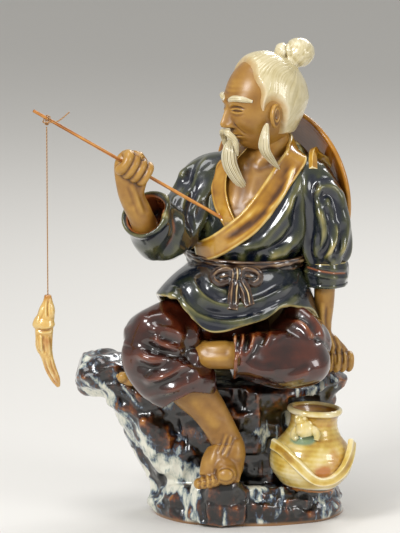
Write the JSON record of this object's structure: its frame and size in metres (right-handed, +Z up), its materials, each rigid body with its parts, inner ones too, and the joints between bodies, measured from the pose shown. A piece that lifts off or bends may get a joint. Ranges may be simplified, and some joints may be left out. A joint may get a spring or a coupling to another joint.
{
  "type": "glazed stoneware fisherman figurine",
  "caption": "Seated fisherman figurine on a glazed rock, with a creel at his foot and a hat on his back, holding a removable rod from which a ceramic fish hangs on a thread.",
  "frame": {"origin": "centre of the unglazed underside of the rock, on the surface that it stands on", "axes": "+Z up; -Y is the front, towards which the figure sits and the picture looks; +X is the viewer's right"},
  "size_m": [0.1589, 0.1199, 0.2402],
  "materials": {
    "rock_glaze": "glossy dark brown glaze with rust patches and blue-white runs",
    "jacket_glaze": "glossy navy glaze breaking to olive on the folds",
    "collar_glaze": "glossy amber glaze",
    "trouser_glaze": "glossy oxblood-brown glaze",
    "sash_glaze": "glossy dark brown glaze",
    "bare_clay": "unglazed fired clay, satin",
    "hair_glaze": "satin ivory slip",
    "hat_glaze": "glossy amber-brown glaze",
    "creel_glaze": "glossy cream-yellow glaze with rust and green pools",
    "fish_glaze": "glossy ivory-yellow glaze",
    "bamboo": "split bamboo, bare",
    "thread": "waxed cotton thread"
  },
  "bodies": {
    "figure": {"rock_base": "rock_glaze", "right_foot": "bare_clay", "left_foot": "bare_clay", "right_trouser_leg": "trouser_glaze", "left_trouser_leg": "trouser_glaze", "left_hand": "bare_clay", "right_hand": "bare_clay", "head": "bare_clay", "neck_and_chest": "bare_clay", "hair_cap": "hair_glaze", "topknot": "hair_glaze", "left_eyebrow": "hair_glaze", "right_eyebrow": "hair_glaze", "moustache": "hair_glaze", "beard": "hair_glaze", "left_whisker": "hair_glaze", "right_whisker": "hair_glaze", "jacket_body": "jacket_glaze", "left_sleeve": "jacket_glaze", "left_cuff": "jacket_glaze", "right_sleeve": "jacket_glaze", "jacket_skirt": "jacket_glaze", "left_lapel": "collar_glaze", "right_lapel": "collar_glaze", "sash": "sash_glaze", "sash_bow": "sash_glaze", "straw_hat": "hat_glaze", "hat_cord": "collar_glaze", "creel": "creel_glaze", "creel_strap": "creel_glaze", "creel_creature": "creel_glaze"},
    "rod": {"fishing_rod": "bamboo"},
    "thread_loop": {"thread_loop": "thread"},
    "line": {"line": "thread"},
    "fish": {"fish": "fish_glaze"}
  },
  "joints": [
    {"name": "rod_slide", "type": "slide", "parent": "figure", "child": "rod", "axis": [-0.8125, -0.2678, 0.5178], "range_m": [0, 0.044]},
    {"name": "loop_turn", "type": "hinge", "parent": "rod", "child": "thread_loop", "pos_m": [-0.098, -0.05436, 0.20936], "axis": [-0.8125, -0.2678, 0.5178], "range_deg": [-12, 40]},
    {"name": "line_swing", "type": "hinge", "parent": "thread_loop", "child": "line", "pos_m": [-0.09826, -0.05444, 0.20677], "axis": [0, 1, 0], "range_deg": [-12, 45]},
    {"name": "fish_spin", "type": "hinge", "parent": "line", "child": "fish", "pos_m": [-0.09826, -0.05444, 0.12232], "axis": [0, 0, 1], "continuous": true}
  ]
}
